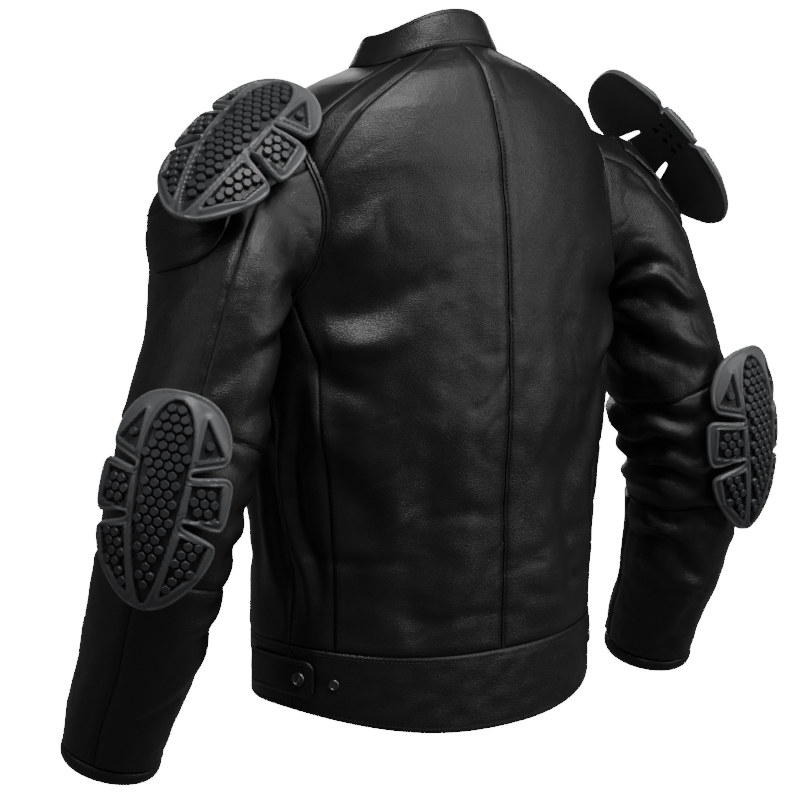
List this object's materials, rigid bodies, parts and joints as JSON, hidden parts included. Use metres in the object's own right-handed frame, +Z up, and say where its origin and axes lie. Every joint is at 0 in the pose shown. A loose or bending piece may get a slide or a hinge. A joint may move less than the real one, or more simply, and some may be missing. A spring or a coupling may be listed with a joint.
{
  "type": "leather riding jacket",
  "caption": "Padded leather riding jacket with a stand collar, front zip, waist adjuster tabs and moulded armour guards at the shoulders and elbows.",
  "frame": {"origin": "centre of the neck opening, level with the collar seam at the back", "axes": "+Z up, the wearer faces -Y, the wearer's left is +X"},
  "size_m": [0.7998, 0.2507, 0.6888],
  "materials": {
    "leather": "smooth black cowhide with a fine grain and a soft sheen",
    "lining": "black woven polyester lining",
    "guard": "soft moulded dark grey armour with a satin skin",
    "zip_tape": "black woven zip tape",
    "dark_metal": "black nickel plated"
  },
  "bodies": {
    "jacket": {"back_panel_left": "leather", "back_panel_right": "leather", "body_lining_left": "lining", "body_lining_right": "lining", "collar": "leather", "elbow_panel_left": "leather", "elbow_panel_right": "leather", "front_panel_left": "leather", "front_panel_right": "leather", "front_zip_tape_left": "zip_tape", "front_zip_tape_right": "zip_tape", "hanger_loop": "leather", "pocket_zip_tape_left": "zip_tape", "pocket_zip_tape_right": "zip_tape", "shoulder_patch_left": "leather", "shoulder_patch_right": "leather", "shoulder_strip_left": "leather", "shoulder_strip_right": "leather", "side_panel_left": "leather", "side_panel_right": "leather", "sleeve_lining_left": "lining", "sleeve_lining_right": "lining", "spare_snap_left": "dark_metal", "spare_snap_right": "dark_metal", "upper_sleeve_outer_left": "leather", "upper_sleeve_outer_right": "leather", "upper_sleeve_under_left": "leather", "upper_sleeve_under_right": "leather", "waistband_back": "leather", "waistband_front_left": "leather", "waistband_front_right": "leather"},
    "forearm_left": {"forearm_rear_left": "leather", "forearm_front_left": "leather", "cuff_binding_left": "leather", "cuff_zip_tape_left": "zip_tape"},
    "elbow_guard_left": {"elbow_guard_left": "guard"},
    "shoulder_guard_left": {"shoulder_guard_left": "guard"},
    "waist_tab_left": {"waist_tab_left": "leather", "waist_snap_left": "dark_metal"},
    "pocket_zip_left_slider": {"pocket_zip_left_slider": "dark_metal"},
    "pocket_zip_left_puller": {"pocket_zip_left_puller": "dark_metal"},
    "cuff_zip_left_slider": {"cuff_zip_left_slider": "dark_metal"},
    "cuff_zip_left_puller": {"cuff_zip_left_puller": "dark_metal"},
    "forearm_right": {"forearm_rear_right": "leather", "forearm_front_right": "leather", "cuff_binding_right": "leather", "cuff_zip_tape_right": "zip_tape"},
    "elbow_guard_right": {"elbow_guard_right": "guard"},
    "shoulder_guard_right": {"shoulder_guard_right": "guard"},
    "waist_tab_right": {"waist_tab_right": "leather", "waist_snap_right": "dark_metal"},
    "pocket_zip_right_slider": {"pocket_zip_right_slider": "dark_metal"},
    "pocket_zip_right_puller": {"pocket_zip_right_puller": "dark_metal"},
    "cuff_zip_right_slider": {"cuff_zip_right_slider": "dark_metal"},
    "cuff_zip_right_puller": {"cuff_zip_right_puller": "dark_metal"},
    "front_zip_slider": {"front_zip_slider": "dark_metal"},
    "front_zip_puller": {"front_zip_puller": "dark_metal"},
    "collar_tab": {"collar_tab": "leather", "collar_snap": "dark_metal"}
  },
  "joints": [
    {"name": "elbow_left", "type": "hinge", "parent": "jacket", "child": "forearm_left", "pos_m": [0.312, 0.04, -0.396], "axis": [-0.9388, 0, -0.3444], "range_deg": [0, 60], "deforming": ["elbow_panel_left", "sleeve_lining_left"]},
    {"name": "elbow_guard_left_lift", "type": "slide", "parent": "forearm_left", "child": "elbow_guard_left", "axis": [0.7365, 0.6641, 0.129], "range_m": [0, 0.06]},
    {"name": "shoulder_guard_left_lift", "type": "slide", "parent": "jacket", "child": "shoulder_guard_left", "axis": [0.4643, 0.4501, 0.7628], "range_m": [0, 0.06]},
    {"name": "waist_tab_left_open", "type": "hinge", "parent": "jacket", "child": "waist_tab_left", "pos_m": [0.1828, -0.0291, -0.576], "axis": [0, 0, -1], "range_deg": [0, 75]},
    {"name": "pocket_zip_left_run", "type": "slide", "parent": "jacket", "child": "pocket_zip_left_slider", "axis": [-0.0937, 0.0438, -0.9946], "range_m": [0, 0.055]},
    {"name": "pocket_zip_left_pull", "type": "hinge", "parent": "pocket_zip_left_slider", "child": "pocket_zip_left_puller", "pos_m": [0.13482, -0.10007, -0.38079], "axis": [-0.8927, -0.4506, 0], "range_deg": [0, 90]},
    {"name": "cuff_zip_left_run", "type": "slide", "parent": "forearm_left", "child": "cuff_zip_left_slider", "axis": [-0.0831, 0.3323, 0.9395], "range_m": [0, 0.045]},
    {"name": "cuff_zip_left_pull", "type": "hinge", "parent": "cuff_zip_left_slider", "child": "cuff_zip_left_puller", "pos_m": [0.33343, -0.0778, -0.59447], "axis": [-0.998, 0.0629, 0], "range_deg": [0, 90]},
    {"name": "elbow_right", "type": "hinge", "parent": "jacket", "child": "forearm_right", "pos_m": [-0.312, 0.04, -0.396], "axis": [-0.9388, 0, 0.3444], "range_deg": [0, 60], "deforming": ["elbow_panel_right", "sleeve_lining_right"]},
    {"name": "elbow_guard_right_lift", "type": "slide", "parent": "forearm_right", "child": "elbow_guard_right", "axis": [-0.1621, 0.9853, -0.0547], "range_m": [0, 0.06]},
    {"name": "shoulder_guard_right_lift", "type": "slide", "parent": "jacket", "child": "shoulder_guard_right", "axis": [-0.8643, -0.0201, 0.5025], "range_m": [0, 0.06]},
    {"name": "waist_tab_right_open", "type": "hinge", "parent": "jacket", "child": "waist_tab_right", "pos_m": [-0.1828, -0.0291, -0.576], "axis": [0, 0, 1], "range_deg": [0, 75]},
    {"name": "pocket_zip_right_run", "type": "slide", "parent": "jacket", "child": "pocket_zip_right_slider", "axis": [0.0937, 0.0438, -0.9946], "range_m": [0, 0.055]},
    {"name": "pocket_zip_right_pull", "type": "hinge", "parent": "pocket_zip_right_slider", "child": "pocket_zip_right_puller", "pos_m": [-0.13482, -0.10007, -0.38079], "axis": [-0.8927, 0.4506, 0], "range_deg": [0, 90]},
    {"name": "cuff_zip_right_run", "type": "slide", "parent": "forearm_right", "child": "cuff_zip_right_slider", "axis": [0.0831, 0.3323, 0.9395], "range_m": [0, 0.045]},
    {"name": "cuff_zip_right_pull", "type": "hinge", "parent": "cuff_zip_right_slider", "child": "cuff_zip_right_puller", "pos_m": [-0.33343, -0.0778, -0.59447], "axis": [-0.998, -0.0629, 0], "range_deg": [0, 90]},
    {"name": "front_zip_run", "type": "slide", "parent": "jacket", "child": "front_zip_slider", "axis": [0, -0.297, -0.9549], "range_m": [0, 0.14]},
    {"name": "front_zip_pull", "type": "hinge", "parent": "front_zip_slider", "child": "front_zip_puller", "pos_m": [0, -0.0684, -0.06424], "axis": [-1, 0, 0], "range_deg": [0, 90]},
    {"name": "collar_tab_open", "type": "hinge", "parent": "jacket", "child": "collar_tab", "pos_m": [0.0275, -0.06, -0.036], "axis": [0, 0, 1], "range_deg": [0, 110]}
  ]
}
